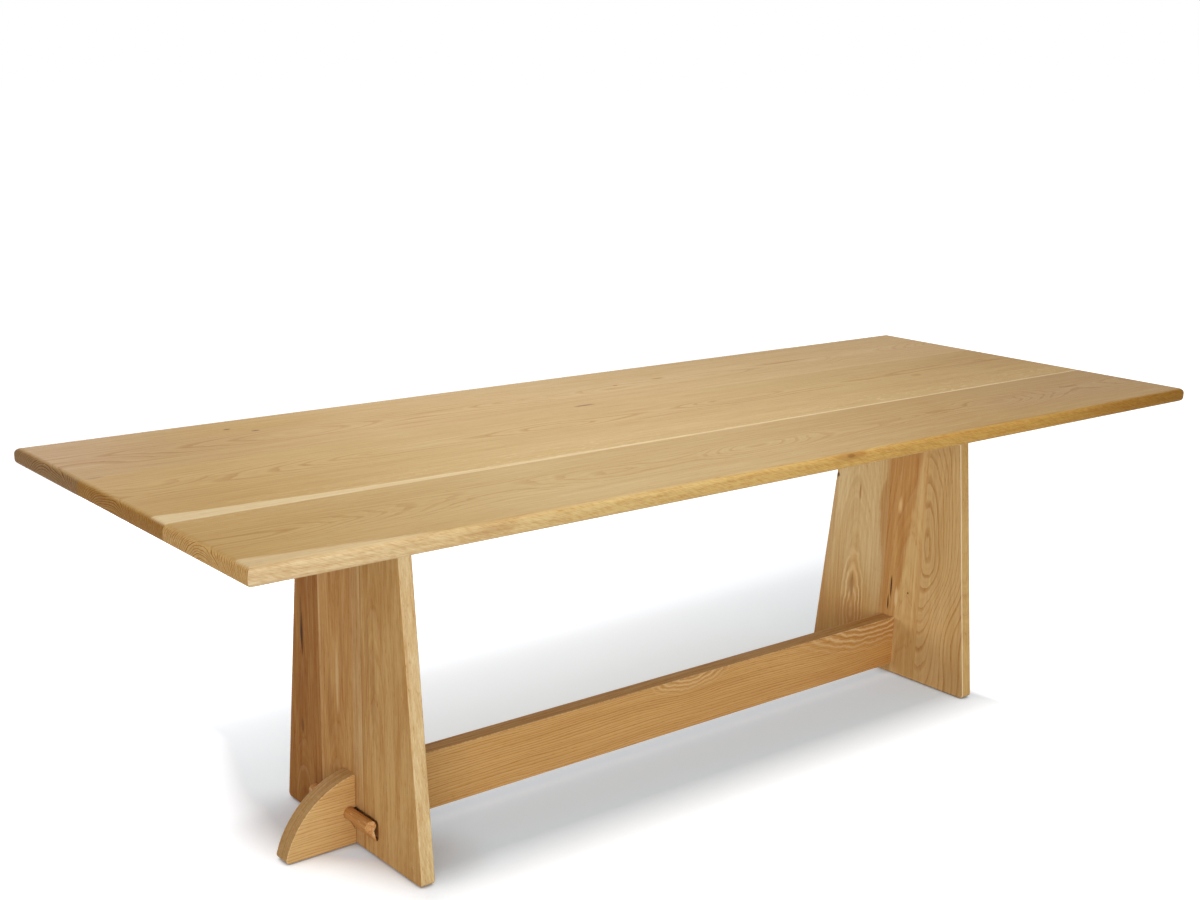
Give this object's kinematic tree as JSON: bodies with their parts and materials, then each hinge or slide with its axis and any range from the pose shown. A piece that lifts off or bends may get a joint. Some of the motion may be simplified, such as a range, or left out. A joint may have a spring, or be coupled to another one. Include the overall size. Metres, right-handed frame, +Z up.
{
  "type": "trestle dining table",
  "caption": "Long solid-oak dining table on tapered panel legs, joined by a stretcher with quarter-round feet and sliding lock keys.",
  "frame": {"origin": "on the floor, below the centre of the tabletop", "axes": "+X along the tabletop's length, +Y across its width, +Z up"},
  "size_m": [2.44, 0.927, 0.75],
  "materials": {
    "oak_top": "clear matt oil on planed oak, pale straw with long grain along the length",
    "oak_legs": "clear matt oil, upright grain, a heartwood and sapwood mix",
    "oak_stretcher": "clear matt oil, warm brown, grain along the length",
    "oak_keys": "clear matt oil, grain along the key",
    "oak_cleats": "sanded oak, oiled",
    "zinc_screws": "zinc-plated steel",
    "zinc_bolts": "zinc-plated steel",
    "brass_inserts": "plain turned brass",
    "nylon_glides": "dark matt nylon"
  },
  "bodies": {
    "table": {"top_board_far": "oak_top", "top_board_middle": "oak_top", "top_board_near": "oak_top", "leg_left_board_far": "oak_legs", "leg_left_board_middle": "oak_legs", "leg_left_board_near": "oak_legs", "leg_right_board_far": "oak_legs", "leg_right_board_middle": "oak_legs", "leg_right_board_near": "oak_legs", "stretcher": "oak_stretcher", "cleat_left": "oak_cleats", "cleat_right": "oak_cleats", "cleat_screws": "zinc_screws", "top_bolts": "zinc_bolts", "top_washers": "zinc_bolts", "threaded_inserts": "brass_inserts", "glides": "nylon_glides"},
    "key_left": {"lock_key_left": "oak_keys"},
    "key_right": {"lock_key_right": "oak_keys"}
  },
  "joints": [
    {"name": "key_left_slide", "type": "slide", "parent": "table", "child": "key_left", "axis": [0, 1, 0], "range_m": [-0.137, 0.12]},
    {"name": "key_right_slide", "type": "slide", "parent": "table", "child": "key_right", "axis": [0, 1, 0], "range_m": [-0.12, 0.137]}
  ]
}
